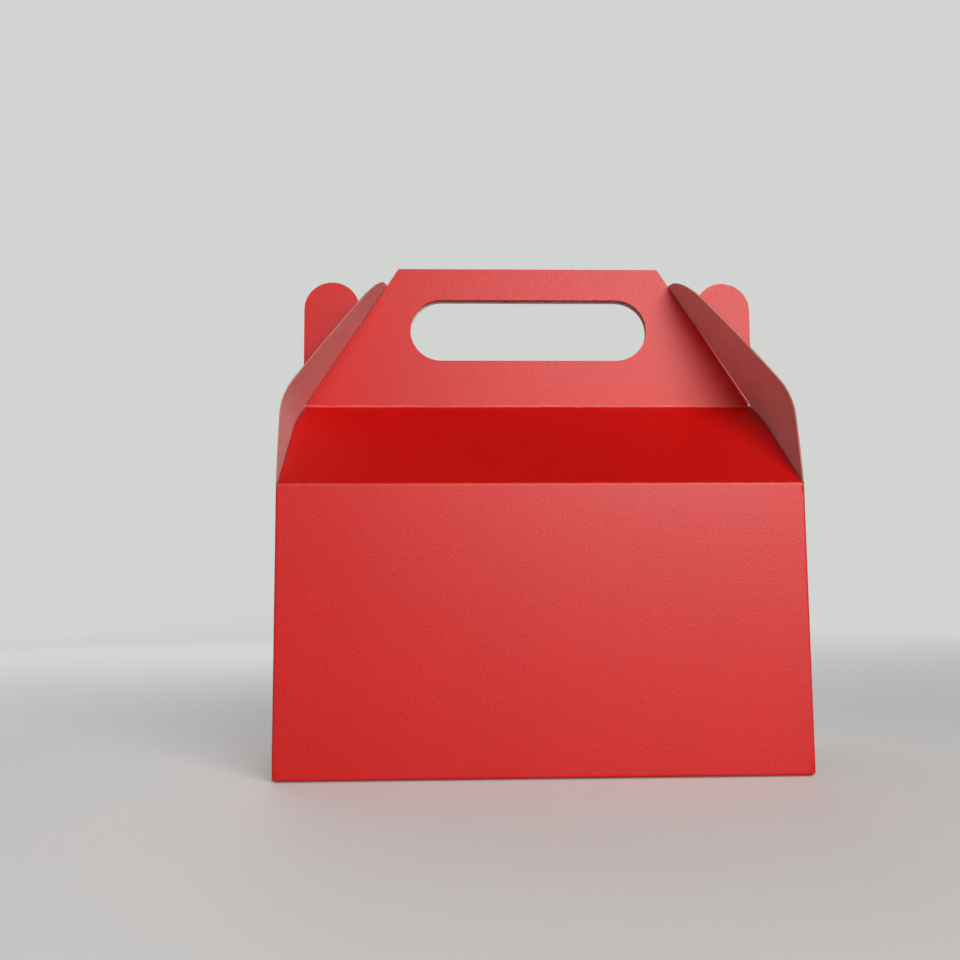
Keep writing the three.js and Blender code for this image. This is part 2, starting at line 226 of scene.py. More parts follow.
# The inside of the card: the same red, printed thin on bare board, dull and faintly fibrous
def insideFace():
    board = {
        "red": (0.68, 0.350, 0.332, 1),
        "palePatch": (0.76, 0.425, 0.402, 1),
        "fibreScale": 900,
        "patchScale": 60,
        "roughness": 0.62,
    }
    material, shader = newFinish("inside_red")
    place = shader.node("ShaderNodeTexCoord", {}, {}).out("Object")
    patch = shader.noiseAt(place, board["patchScale"], 4, 0.6)
    fibre = shader.noiseAt(place, board["fibreScale"], 3, 0.65)
    shift = shader.remap(patch * 0.6 + fibre * 0.4, 0.35, 0.65)
    color = shader.mixColor(shift, board["red"], board["palePatch"])
    roughness = board["roughness"] + (patch - 0.5) * 0.1
    bump = shader.node("ShaderNodeBump", {}, {"Strength": 0.25, "Distance": 0.00008, "Height": fibre})
    surface = shader.node("ShaderNodeBsdfPrincipled", {}, {
        "Base Color": color, "Roughness": roughness, "Normal": bump,
    })
    closeFinish(shader, surface)
    return material


# Where the die cut through: pale board between two red skins
def cutEdge():
    core = {
        "board": (0.52, 0.26, 0.20, 1),
        "tinted": (0.42, 0.05, 0.04, 1),
        "fibreScale": 2500,
        "roughness": 0.85,
    }
    material, shader = newFinish("cut_edge")
    place = shader.node("ShaderNodeTexCoord", {}, {}).out("Object")
    fibre = shader.noiseAt(place, core["fibreScale"], 3, 0.7)
    skin = shader.node("ShaderNodeAttribute", {"attribute_name": "skinMark"}, {}).out("Fac")
    mask = shader.remap(skin + fibre * 0.6, 0.2, 0.9)
    bump = shader.node("ShaderNodeBump", {}, {"Strength": 0.4, "Distance": 0.00005, "Height": fibre})
    surface = shader.node("ShaderNodeBsdfPrincipled", {}, {
        "Base Color": shader.mixColor(mask, core["board"], core["tinted"]),
        "Roughness": core["roughness"],
        "Normal": bump,
    })
    closeFinish(shader, surface)
    return material


# What the camera sees, directly or in a gloss, and not what lights the box
def seenRay(shader):
    path = shader.node("ShaderNodeLightPath", {}, {})
    return path.out("Is Camera Ray") + path.out("Is Glossy Ray") + path.out("Is Transmission Ray")


# A pale sweep: floor and backdrop in one sheet, bright to the camera without lighting the box
def buildStage():
    sweep = {
        "width": 4.0,
        "front": -1.6,
        "floor": -0.0004,  # just under the card
        "back": 0.9,
        "bend": 0.35,
        "top": 1.15,
        "paper": (0.26, 0.27, 0.26, 1),
        "tooth": (0.30, 0.31, 0.30, 1),
        "seenPaper": (0.86, 0.87, 0.86, 1),
        "backdrop": (0.64, 0.66, 0.64, 1),
        "fadeFrom": 0.2,
        "fadeTo": 1.1,
        "nearGlow": 0.2,
        "toothScale": 700,
        "roughness": 0.7,
    }
    steps = 24
    line = [(sweep["front"], sweep["floor"])]
    for step in range(steps + 1):
        turn = pi / 2 * step / steps
        y = sweep["back"] + sweep["bend"] * sin(turn)
        z = sweep["floor"] + sweep["bend"] * (1 - cos(turn))
        line.append((y, z))
    line.append((sweep["back"] + sweep["bend"], sweep["top"]))
    half = sweep["width"] / 2
    points = [(side * half, y, z) for y, z in line for side in (-1, 1)]
    faces = [(2 * i, 2 * i + 1, 2 * i + 3, 2 * i + 2) for i in range(len(line) - 1)]
    mesh = bpy.data.meshes.new("paper_sweep")
    mesh.from_pydata(points, [], faces)
    mesh.polygons.foreach_set("use_smooth", [True] * len(faces))
    floor = bpy.data.objects.new("paper_sweep", mesh)
    bpy.context.scene.collection.objects.link(floor)

    material, shader = newFinish("pale_paper")
    place = shader.node("ShaderNodeTexCoord", {}, {}).out("Object")
    tooth = shader.noiseAt(place, sweep["toothScale"], 3)
    seen = seenRay(shader)
    lit = shader.mixColor(tooth, sweep["paper"], sweep["tooth"])
    color = shader.mixColor(seen, lit, sweep["seenPaper"])
    bump = shader.node("ShaderNodeBump", {}, {"Strength": 0.05, "Distance": 0.0002, "Height": tooth})
    paper = shader.node("ShaderNodeBsdfPrincipled", {}, {
        "Base Color": color, "Roughness": sweep["roughness"], "Normal": bump,
    })
    glow = shader.node("ShaderNodeEmission", {}, {"Color": sweep["backdrop"], "Strength": 1})
    away = shader.node("ShaderNodeVectorMath", {"operation": "LENGTH"}, {0: place}).out("Value")
    fade = shader.remap(away, sweep["fadeFrom"], sweep["fadeTo"])
    mask = (1 - (1 - fade) * (1 - sweep["nearGlow"])) * seen
    closeFinish(shader, shader.node("ShaderNodeMixShader", {}, {0: mask, 1: paper, 2: glow}))
    mesh.materials.append(material)


def buildWorld():
    sky = {
        "light": (0.95, 0.97, 1.0, 1),
        "level": 0.05,
        "seen": (0.64, 0.66, 0.64, 1),
        "overhead": (0.03, 0.03, 0.03, 1),
        "fadeFrom": 0.25,
        "fadeTo": 0.5,
    }
    world = bpy.data.worlds.new("studio")
    bpy.context.scene.world = world
    shader = Shader(world)
    toward = shader.node("ShaderNodeTexCoord", {}, {}).out("Generated")
    rise = shader.node("ShaderNodeSeparateXYZ", {}, {"Vector": toward}).out("Z")
    above = shader.remap(rise, sky["fadeFrom"], sky["fadeTo"])
    shade = shader.mixColor(above, sky["seen"], sky["overhead"])
    lit = shader.node("ShaderNodeBackground", {}, {"Color": sky["light"], "Strength": sky["level"]})
    shown = shader.node("ShaderNodeBackground", {}, {"Color": shade, "Strength": 1})
    both = shader.node("ShaderNodeMixShader", {}, {0: seenRay(shader), 1: lit, 2: shown})
    shader.node("ShaderNodeOutputWorld", {}, {"Surface": both})


# Straight runs joined by round folds. The corners are the outer face's, with the card on their right.
class FoldedLine:
    def __init__(self, corners, foldRadius, thickness):
        points = [Vector(corner) for corner in corners]
        self.parts = []
        start, along = points[0], 0
        for i in range(len(points) - 1):
            ahead = (points[i + 1] - points[i]).normalized()
            turn = 0
            if i + 2 < len(points):
                after = (points[i + 2] - points[i + 1]).normalized()
                turn = atan2(ahead.cross(after), ahead.dot(after))
            radius = foldRadius + (thickness if turn < 0 else 0)
            trim = radius * tan(abs(turn) / 2)
            end = points[i + 1] - ahead * trim
            self.parts.append({"from": along, "start": start, "ahead": ahead, "turn": 0})
            along += (end - start).length
            if turn:
                side = 1 if turn > 0 else -1
                spoke = Vector((ahead.y, -ahead.x)) * side
                centre = end - spoke * radius
                self.parts.append({
                    "from": along, "centre": centre, "spoke": spoke, "turn": turn,
                    "radius": radius, "side": side, "length": radius * abs(turn),
                })
                along += radius * abs(turn)
                start = points[i + 1] + after * trim
        self.length = along
        self.starts = [part["from"] for part in self.parts]
        self.runs = [part for part in self.parts if part["turn"] == 0]

    def partAt(self, along):
        return self.parts[max(0, bisect_right(self.starts, along) - 1)]

    def at(self, along, depth):
        part = self.partAt(along)
        if part["turn"] == 0:
            ahead = part["ahead"]
            return part["start"] + ahead * (along - part["from"]) + Vector((ahead.y, -ahead.x)) * depth
        turned = part["turn"] * (along - part["from"]) / part["length"]
        spoke = part["spoke"]
        x = spoke.x * cos(turned) - spoke.y * sin(turned)
        y = spoke.x * sin(turned) + spoke.y * cos(turned)
        return part["centre"] + Vector((x, y)) * (part["radius"] + part["side"] * depth)

    # a point of a straight run, or of its line carried on past the run's ends
    def onRun(self, run, along, depth):
        part = self.runs[run]
        ahead = part["ahead"]
        return part["start"] + ahead * (along - part["from"]) + Vector((ahead.y, -ahead.x)) * depth

    # how far along a point of a straight run lies, by the run's number
    def alongOf(self, run, point):
        part = self.runs[run]
        return part["from"] + (Vector(point) - part["start"]).dot(part["ahead"])

    # the place between two others where one coordinate reaches a value
    def alongWhere(self, axis, value, low, high):
        rises = self.at(high, 0)[axis] > self.at(low, 0)[axis]
        for _ in range(40):
            middle = (low + high) / 2
            if (self.at(middle, 0)[axis] < value) == rises:
                low = middle
            else:
                high = middle
        return (low + high) / 2

    def folds(self):
        return [part for part in self.parts if part["turn"]]


# Straight edges joined by arcs. A corner is (x, y) or (x, y, radius).
def roundedLoop(corners):
    arcStep = radians(9)
    points = []
    count = len(corners)
    for i, corner in enumerate(corners):
        here = Vector(corner[:2])
        radius = corner[2] if len(corner) > 2 else 0
        if radius == 0:
            points.append(here)
            continue
        back = (Vector(corners[i - 1][:2]) - here).normalized()
        ahead = (Vector(corners[(i + 1) % count][:2]) - here).normalized()
        half = back.angle(ahead) / 2
        centre = here + (back + ahead).normalized() * radius / sin(half)
        start = here + back * radius / tan(half) - centre
        turn = (pi - 2 * half) * (1 if back.cross(ahead) < 0 else -1)
        steps = max(2, ceil(abs(turn) / arcStep))
        for step in range(steps + 1):
            angle = turn * step / steps
            points.append(centre + Matrix.Rotation(angle, 2) @ start)
    return points


# An edge loop with a point at least every so often, and one where it crosses each crease row
def resampled(loop, spacing, rowsAcross, rowsUp):
    closest = 0.05
    points = []
    for i, start in enumerate(loop):
        end = loop[(i + 1) % len(loop)]
        run = end - start
        steps = max(1, ceil(run.length / spacing))
        shares = {step / steps for step in range(steps)}
        for axis, rows in ((0, rowsAcross), (1, rowsUp)):
            if abs(run[axis]) > 1e-6:
                shares |= {(row - start[axis]) / run[axis] for row in rows}
        last = -1
        for share in sorted(share for share in shares if 0 <= share < 1):
            nearEnd = share > 0 and (1 - share) * run.length < closest
            if (share - last) * run.length > closest and not nearEnd:
                points.append(start + run * share)
                last = share
    return points


# For each point, whether it lies on the card, and its distance to the nearest cut
def testPoints(points, loops):
    inside = np.zeros(len(points), bool)
    nearest = np.full(len(points), 1e9)
    x, y = points[:, 0], points[:, 1]
    for loop in loops:
        for i, start in enumerate(loop):
            end = loop[(i + 1) % len(loop)]
            spanX, spanY = end.x - start.x, end.y - start.y
            share = np.clip(((x - start.x) * spanX + (y - start.y) * spanY) / (spanX ** 2 + spanY ** 2), 0, 1)
            nearest = np.minimum(nearest, np.hypot(x - start.x - share * spanX, y - start.y - share * spanY))
            if spanY:
                crosses = (start.y > y) != (end.y > y)
                inside ^= crosses & (x < start.x + (y - start.y) * spanX / spanY)
    return inside, nearest


# Cuts a blank out of the card and folds it. Seen along its own axes the blank shows its inner face.
def dieCut(name, loops, rowsAcross, rowsUp, rowPoints, fold, creaseWearAndHighlight, finishes, spacing):
    room = {
        "cut": 0.3 * spacing,  # from a grid point to a cut
        "row": 0.5 * spacing,  # from a grid point to a row
        "rowEnd": 0.12,  # from a row's point to a cut
    }
    loops = [resampled(loop, card["edgeSpacing"], rowsAcross, rowsUp) for loop in loops]
    low = [min(point[axis] for point in loops[0]) for axis in (0, 1)]
    high = [max(point[axis] for point in loops[0]) for axis in (0, 1)]
    grid = []
    for row in range(int((high[1] - low[1]) / spacing) + 1):
        for column in range(int((high[0] - low[0]) / spacing) + 1):
            grid.append((low[0] + (column + (row % 2) / 2) * spacing, low[1] + row * spacing))
    grid = np.array(grid)
    gridInside, gridGap = testPoints(grid, loops)
    keep = gridInside & (gridGap > room["cut"])
    for axis, rows in ((0, rowsAcross), (1, rowsUp)):
        for row in rows:
            keep &= np.abs(grid[:, axis] - row) > room["row"]
    rowPoints = np.array(rowPoints).reshape(-1, 2)
    rowInside, rowGap = testPoints(rowPoints, loops)
    rowPoints = rowPoints[rowInside & (rowGap > room["rowEnd"])]
    inner = [Vector(point) for point in (*grid[keep], *rowPoints)]

    points, edges = [], []
    for loop in loops:
        first = len(points)
        points += loop
        edges += [(first + i, first + (i + 1) % len(loop)) for i in range(len(loop))]
    points += inner
    flat, _, triangles = delaunay_2d_cdt(points, edges, [], 0, 1e-6)[:3]
    centres = np.array([sum((flat[i] for i in tri), Vector((0, 0))) / 3 for tri in triangles])
    onCard = testPoints(centres, loops)[0]
    triangles = [tri for tri, kept in zip(triangles, onCard) if kept]
    turned = [tri if (flat[tri[1]] - flat[tri[0]]).cross(flat[tri[2]] - flat[tri[0]]) > 0 else tri[::-1]
              for tri in triangles]
    return foldBlank(name, flat, turned, fold, creaseWearAndHighlight, finishes)


def foldBlank(name, flat, triangles, fold, creaseWearAndHighlight, finishes):
    thickness = card["thickness"]
    used = sorted({i for tri in triangles for i in tri})
    place = {old: new for new, old in enumerate(used)}
    count = len(used)
    triangles = [tuple(place[i] for i in tri) for tri in triangles]
    outer = [fold(*flat[i], 0) * mm for i in used]
    inner = [fold(*flat[i], thickness) * mm for i in used]
    sides = {(tri[i], tri[(i + 1) % 3]) for tri in triangles for i in range(3)}
    cuts = sorted((a, b) for a, b in sides if (b, a) not in sides)
    ring = sorted({i for cut in cuts for i in cut})
    # the cut edges have points of their own, so that their finish can differ at the card's two skins
    levels = (0, 0.25, 0.75, 1)
    ringPlace = {i: 2 * count + len(levels) * k for k, i in enumerate(ring)}
    edgePoints = []
    for i in ring:
        edgePoints += [outer[i].lerp(inner[i], level) for level in levels]
    faces = [tri[::-1] for tri in triangles]
    faces += [tuple(i + count for i in tri) for tri in triangles]
    finish = [0] * len(triangles) + [1] * len(triangles)
    for a, b in cuts:
        for k in range(len(levels) - 1):
            start, end = ringPlace[a] + k, ringPlace[b] + k
            faces.append((start, end, end + 1, start + 1))
            finish.append(2)
    mesh = bpy.data.meshes.new(name)
    mesh.from_pydata(outer + inner + edgePoints, [], faces)
    mesh.polygons.foreach_set("use_smooth", [True] * len(faces))
    for material in finishes:
        mesh.materials.append(material)
    mesh.polygons.foreach_set("material_index", finish)
    # the pale crease mark: worn film, and partly a painted highlight along the folds
    marks = [creaseWearAndHighlight(*flat[i]) for i in used]
    crease = mesh.attributes.new("creaseWearAndHighlight", "FLOAT", "POINT")
    crease.data.foreach_set("value", marks + marks + [0.0] * len(edgePoints))
    skin = mesh.attributes.new("skinMark", "FLOAT", "POINT")
    skin.data.foreach_set("value", [0.0] * 2 * count + [1.0, 0.0, 0.0, 1.0] * len(ring))
    piece = bpy.data.objects.new(name, mesh)
    bpy.context.scene.collection.objects.link(piece)
    print(name, "has", len(faces), "faces")
    return piece


# Offsets of the rows of points that follow a fold of this length, from its start
def foldRows(length):
    beside = (0.35, 0.8, 1.6)
    across = [length * step / 5 for step in range(6)]
    return [-step for step in reversed(beside)] + across + [length + step for step in beside]


# How pale each crease is painted, as worn film and partly as a painted highlight along the fold, and how wide

creasing = {
    "topFold": 0.5,
    "handleFold": 0.8,
    "corner": 0.2,
    "flapFold": 0.4,
    "width": 0.7,
    "handleWidth": 0.6,
    "waver": 0.5,
    "waverPitch": 9.0,
    "waverRow": 3.7,
}


# a crease's pale line across its width: worn film, and partly a painted highlight
def wornAndHighlighted(distance, width):
    return exp(-(distance / width) ** 2)


# The length, depth and hinge height come from the frame, and the rest repeats the part's own sizes

cartonLow, cartonHigh = (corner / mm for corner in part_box("carton"))
hingeHeight = frame["joints"][0]["pos_m"][2] / mm

body = {
    "length": cartonHigh.x - cartonLow.x,
    "depth": cartonHigh.y - cartonLow.y,
    "wallHeight": 87.0,
    "glueFlapWidth": 14.0,
    "glueFlapTaper": 4.0,
    "roofRise": 31.4,
    "handleHeight": 48.7,
    "handleLean": 1.3,  # degrees
    "foldGap": 0.3,
    "handleCornerRadius": 0.5,
    "wavePitch": 55.0,
    "waveHeight": 0.10,
    "waveFade": 12.0,
}

endFlap = {
    "tipBridge": 3.6,
    "kneeHeight": 28.6,
    "lean": 33.2,  # degrees
    "bendRadius": 22.0,
    "inset": 0.5,
    "sideRadius": 230.0,
    "tipRadius": 24.0,
    "slotCornerRadius": 0.8,
    "slotAboveFold": 0.4,  # these two keep the slot shorter than the part's own
    "slotPastNotch": 0.6,
}

halfLength, halfDepth = body["length"] / 2, body["depth"] / 2
foldHeight = body["wallHeight"] + body["roofRise"]
outerFold = card["foldRadius"] + card["thickness"]
roofSlope = atan2(body["roofRise"], halfDepth - body["foldGap"] / 2 - card["thickness"])
wallTop = body["wallHeight"] - outerFold * tan((pi / 2 - roofSlope) / 2)


def handleFaceAt(height):
    return body["foldGap"] / 2 + card["thickness"] + (height - foldHeight) * tan(radians(body["handleLean"]))


# The end flaps: upright from their fold, bent at the knee, leaning in over the handle's slanted edge

lean = radians(endFlap["lean"])
bend = endFlap["bendRadius"]
flapFoot = card["seatGap"] / 2
kneeStart = endFlap["kneeHeight"] - bend * tan(lean / 2)
kneeEnd = kneeStart + bend * sin(lean)
uprightLength = kneeStart - flapFoot
kneeLength = bend * lean


def flapPoint(along, side, out):
    turn = min(max((along - uprightLength) / bend, 0), lean)
    after = max(0, along - uprightLength - kneeLength)
    radius = bend + out
    across = radius * cos(turn) - bend - card["thickness"] - after * sin(lean)
    up = flapFoot + min(along, uprightLength) + radius * sin(turn) + after * cos(lean)
    return Vector((across, side, up))


def flapInnerAt(height):
    up = height - hingeHeight
    upright = halfLength - card["thickness"]
    if up <= kneeStart:
        return upright
    if up <= kneeEnd:
        return upright - bend + sqrt(bend ** 2 - (up - kneeStart) ** 2)
    return upright - bend * (1 - cos(lean)) - (up - kneeEnd) * tan(lean)


def flapAlongAt(height):
    up = height - hingeHeight
    if up <= kneeStart:
        return up - flapFoot
    if up <= kneeEnd:
        return uprightLength + bend * asin((up - kneeStart) / bend)
    return uprightLength + kneeLength + (up - kneeEnd) / cos(lean)


# The slanted edge of the roof and handle, just inside the closed flap
def closedEdgeAt(height):
    return flapInnerAt(height) - card["seatGap"]


# The height where that edge, beside the flap's leaning part, comes this close to the middle
def closedEdgeHeight(distance):
    leanStart = hingeHeight + kneeEnd
    return leanStart + (closedEdgeAt(leanStart) - distance) / tan(lean)


# The carton's blank: glue flap, back, right end, front and left end, side by side

ear = {
    "inset": 2.0,
    "width": 19.2,
    "top": 43.8,
    "step": 1.0,
    "stepRadius": 0.4,
    "notchRadius": 0.6,
}

handHole = {
    "length": 82.5,
    "height": 21.5,
    "centre": 27.0,
    "rearDrop": 0.5,  # the rear layer sits this much lower
}

bottom = {
    "relief": 1.0,
    "layerGap": 0.1,
    "layerRun": 11.0,
    "frontReach": 43.0,
    "rearReach": 57.0,
    "endReach": 44.0,
    "taper": 2.5,
    "tongueWidth": 56.0,
    "tongueReach": 61.0,
    "tongueTaper": 5.0,
    "tongueRoot": 12.0,  # how far inside the front panel's edge the tongue begins to rise
    "tongueShoulder": 1.5,
    "notchWidth": 62.0,
    "notchDepth": 14.0,
    "cutRadius": 4.0,
    "endSlant": 38.0,
    "endFrontCut": 8.0,
}

layerStep = card["thickness"] + bottom["layerGap"]
foot = outerFold  # where the walls' lower folds end


def foldedLine(corners):
    return FoldedLine(corners, card["foldRadius"], card["thickness"])


# A wall's section, from its bottom panel's free edge up: (distance from the middle, height)
def wallSection(distance, bottomCorners, topCorners):
    line = foldedLine([*bottomCorners, (-distance, 0), *topCorners])
    line.distance = distance
    line.zero = line.alongOf(len(bottomCorners), (-distance, 0))
    return line


def gableCorners():
    top = foldHeight + body["handleHeight"]
    return [
        (-halfDepth, body["wallHeight"]),
        (-handleFaceAt(foldHeight), foldHeight),
        (-handleFaceAt(top), top),
    ]


def panelCorners(distance, reach, layer):
    level = layer * layerStep
    return [(-distance + reach, level), (-distance + bottom["layerRun"], level)]


notchEdge = halfDepth - bottom["rearReach"]
tongueEnd = -halfDepth + bottom["tongueReach"]
tongueTop = 3 * layerStep
tongueCorners = [
    (tongueEnd, tongueTop),
    (notchEdge + bottom["notchDepth"] - bottom["cutRadius"] / 2, tongueTop),
    (notchEdge, 0),
]

frontLine = wallSection(halfDepth, panelCorners(halfDepth, bottom["frontReach"], 0)[:1], gableCorners())
tongueLine = wallSection(halfDepth, tongueCorners, gableCorners())
rearLine = wallSection(halfDepth, panelCorners(halfDepth, bottom["rearReach"], 2), gableCorners())
endLine = wallSection(halfLength, panelCorners(halfLength, bottom["endReach"], 1), [(-halfLength, wallTop)])

seam = -halfLength + card["thickness"]
plan = foldedLine([
    (seam, halfDepth - card["thickness"] - body["glueFlapWidth"]),
    (seam, halfDepth),
    (halfLength, halfDepth),
    (halfLength, -halfDepth),
    (-halfLength, -halfDepth),
    (-halfLength, halfDepth),
])
glueFlapRun, backRun, rightRun, frontRun, leftRun = range(5)
planRuns = [part["from"] for part in plan.parts if part["turn"] == 0]
planSplits = [part["from"] + part["length"] / 2 for part in plan.folds()]


def runAt(across):
    return bisect_right(planSplits, across)


def onWall(run, offset):
    starts = {
        backRun: (offset, halfDepth),
        rightRun: (halfLength, offset),
        frontRun: (offset, -halfDepth),
        leftRun: (-halfLength, offset),
    }
    return plan.alongOf(run, starts[run])


# Slow waves in the panels, which fade out at the creases
def panelWave(across, up):
    if up < foot:
        return 0
    toCorner = min(abs(across - start) for start in planRuns)
    toFold = min(abs(up), abs(up - body["wallHeight"]))
    fade = min(1, toCorner / body["waveFade"]) * min(1, toFold / body["waveFade"])
    place = Vector((across, up, 0)) / body["wavePitch"]
    return body["waveHeight"] * fade * noise.noise(place)


def foldCarton(across, up, depth):
    run = runAt(across)
    depth = depth + panelWave(across, up)
    if foot <= up <= wallTop or run == glueFlapRun:
        return Vector((*plan.at(across, depth), up))
    place = plan.onRun(run, across, depth)
    if run == backRun:
        out, height = rearLine.at(up + rearLine.zero, depth)
        return Vector((place.x, -out, height))
    if run == frontRun:
        onTongue = abs(place.x) < bottom["tongueWidth"] / 2 - 1e-4
        pastRoot = up < -(bottom["frontReach"] - bottom["tongueRoot"])
        line = tongueLine if pastRoot and onTongue else frontLine
        out, height = line.at(up + line.zero, depth)
        return Vector((place.x, out, height))
    out, height = endLine.at(up + endLine.zero, depth)
    return Vector((-out if run == rightRun else out, place.y, height))


# The right half of a roof panel and handle layer: (x, height), from the bottom up
def gableHalf():
    outerX = halfLength - ear["inset"]
    innerX = outerX - ear["width"]
    earRound = ear["width"] / 2
    earStart = foldHeight + ear["step"]
    earHeight = foldHeight + ear["top"]
    topHeight = foldHeight + body["handleHeight"]
    kneeFrom = hingeHeight + kneeStart
    kneeSteps = 10
    half = [(closedEdgeAt(wallTop), wallTop)]
    for step in range(kneeSteps + 1):
        height = kneeFrom + (earStart - kneeFrom) * step / kneeSteps
        half.append((closedEdgeAt(height), height))
    return half + [
        (outerX, earStart, ear["stepRadius"]),
        (outerX, earHeight, earRound),
        (innerX, earHeight, earRound),
        (innerX, closedEdgeHeight(innerX), ear["notchRadius"]),
        (closedEdgeAt(topHeight), topHeight, body["handleCornerRadius"]),
    ]


# A gable's outline on the blank, from the side where the blank's own axis starts
def gableOutline(run, line):
    right = gableHalf()
    left = [(-corner[0], *corner[1:]) for corner in reversed(right)]
    loop = roundedLoop([*right, *left])
    placed = [Vector((onWall(run, x), risenTo(line, height))) for x, height in loop]
    return placed if placed[0].x > placed[-1].x else placed[::-1]


def risenTo(line, height):
    if height <= wallTop:
        return height
    return line.alongWhere(1, height, line.zero + foot, line.length) - line.zero


# A bottom panel's outline on the blank, from corners (x, distance from the middle) as the front one lies
def panelOutline(run, line, corners):
    placed = []
    for x, out in roundedLoop(corners):
        if out <= -line.distance:
            placed.append(Vector((onWall(run, x), foot)))
        else:
            reach = line.alongWhere(0, out, 0, line.zero - outerFold)
            placed.append(Vector((onWall(run, x), reach - line.zero)))
    return placed if placed[0].x < placed[-1].x else placed[::-1]


def buildCarton(finishes):
    foldX = halfLength - bottom["relief"]
    foldY = halfDepth - bottom["relief"]
    radius = bottom["cutRadius"]
    frontEdge = -halfDepth + bottom["frontReach"]
    rearEdge = -halfDepth + bottom["rearReach"]
    tongueX = bottom["tongueWidth"] / 2
    notchX = bottom["notchWidth"] / 2
    shoulder = notchEdge - bottom["tongueShoulder"]

    frontPanel = [
        (-foldX, -halfDepth),
        (-foldX + bottom["taper"], frontEdge, radius),
        (-tongueX, frontEdge),
        (-tongueX, shoulder),
        (-tongueX + bottom["tongueTaper"], tongueEnd, radius),
        (tongueX - bottom["tongueTaper"], tongueEnd, radius),
        (tongueX, shoulder),
        (tongueX, frontEdge),
        (foldX - bottom["taper"], frontEdge, radius),
        (foldX, -halfDepth),
    ]
    rearPanel = [
        (-foldX, -halfDepth),
        (-foldX + bottom["taper"], rearEdge, radius),
        (-notchX, rearEdge, radius),
        (-notchX + radius, rearEdge - bottom["notchDepth"], radius),
        (notchX - radius, rearEdge - bottom["notchDepth"], radius),
        (notchX, rearEdge, radius),
        (foldX - bottom["taper"], rearEdge, radius),
        (foldX, -halfDepth),
    ]
    endPanel = [
        (-foldY, -halfLength),
        (-foldY, -halfLength + bottom["endReach"] - bottom["endFrontCut"], radius),
        (-foldY + bottom["endFrontCut"], -halfLength + bottom["endReach"], radius),
        (foldY - bottom["endSlant"], -halfLength + bottom["endReach"], radius),
        (foldY, -halfLength + bottom["endReach"] - bottom["endSlant"]),
        (foldY, -halfLength),
    ]
    glueStart, glueEnd = 0, plan.parts[1]["from"]
    taper = body["glueFlapTaper"]
    loop = [Vector((glueStart, foot + taper)), Vector((glueEnd, foot))]
    loop += panelOutline(backRun, rearLine, rearPanel)
    loop += panelOutline(rightRun, endLine, endPanel)
    loop += panelOutline(frontRun, tongueLine, frontPanel)
    loop += panelOutline(leftRun, endLine, endPanel)
    loop += [Vector((plan.length, foot)), Vector((plan.length, wallTop))]
    loop += gableOutline(frontRun, frontLine)
    loop += gableOutline(backRun, rearLine)
    loop += [Vector((glueEnd, wallTop)), Vector((glueStart, wallTop - taper))]

    holeX, holeZ = handHole["length"] / 2, handHole["height"] / 2
    loops = [loop]
    for run, line, drop in ((frontRun, frontLine, 0), (backRun, rearLine, handHole["rearDrop"])):
        middle = foldHeight + handHole["centre"] - drop
        hole = roundedLoop([
            (-holeX, middle - holeZ, holeZ),
            (holeX, middle - holeZ, holeZ),
            (holeX, middle + holeZ, holeZ),
            (-holeX, middle + holeZ, holeZ),
        ])
        loops.append([Vector((onWall(run, x), risenTo(line, height))) for x, height in hole])

    rowsAcross, rowsUp, rowPoints = [], [], []
    rowStep = card["rowSpacing"]
    for part in plan.folds():
        for offset in foldRows(part["length"]):
            across = part["from"] + offset
            rowsAcross.append(across)
            steps = int((wallTop - foot) / rowStep)
            rowPoints += [(across, foot + rowStep * step) for step in range(steps + 1)]
    for run, line in ((backRun, rearLine), (frontRun, frontLine), (rightRun, endLine), (leftRun, endLine)):
        half = halfLength if run in (backRun, frontRun) else halfDepth
        lowest, highest = sorted((onWall(run, -half), onWall(run, half)))
        for part in line.folds():
            for offset in foldRows(part["length"]):
                up = part["from"] + offset - line.zero
                rowsUp.append(up)
                steps = int((highest - lowest) / rowStep)
                rowPoints += [(lowest + rowStep * step, up) for step in range(steps + 1)]

    folds = [(part["from"] + part["length"] / 2 - frontLine.zero) for part in frontLine.folds()]
    topFold, handleFold = folds[-2:]

    # pale lines along the top, handle and corner folds: worn film, and partly a painted highlight
    def creaseWearAndHighlight(across, up):
        place = Vector((across / creasing["waverPitch"], creasing["waverRow"], 0))
        waver = creasing["waver"] * noise.noise(place)
        mark = creasing["topFold"] * wornAndHighlighted(up - topFold, creasing["width"])
        mark += creasing["handleFold"] * wornAndHighlighted(up - handleFold - waver, creasing["handleWidth"])
        if foot < up < wallTop:
            for split in planSplits:
                mark += creasing["corner"] * wornAndHighlighted(across - split, creasing["width"])
        return mark

    carton = dieCut("folded_carton", loops, rowsAcross, rowsUp, rowPoints, foldCarton, creaseWearAndHighlight,
                    finishes, card["pointSpacing"])
    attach(carton, "carton")
    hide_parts("carton")


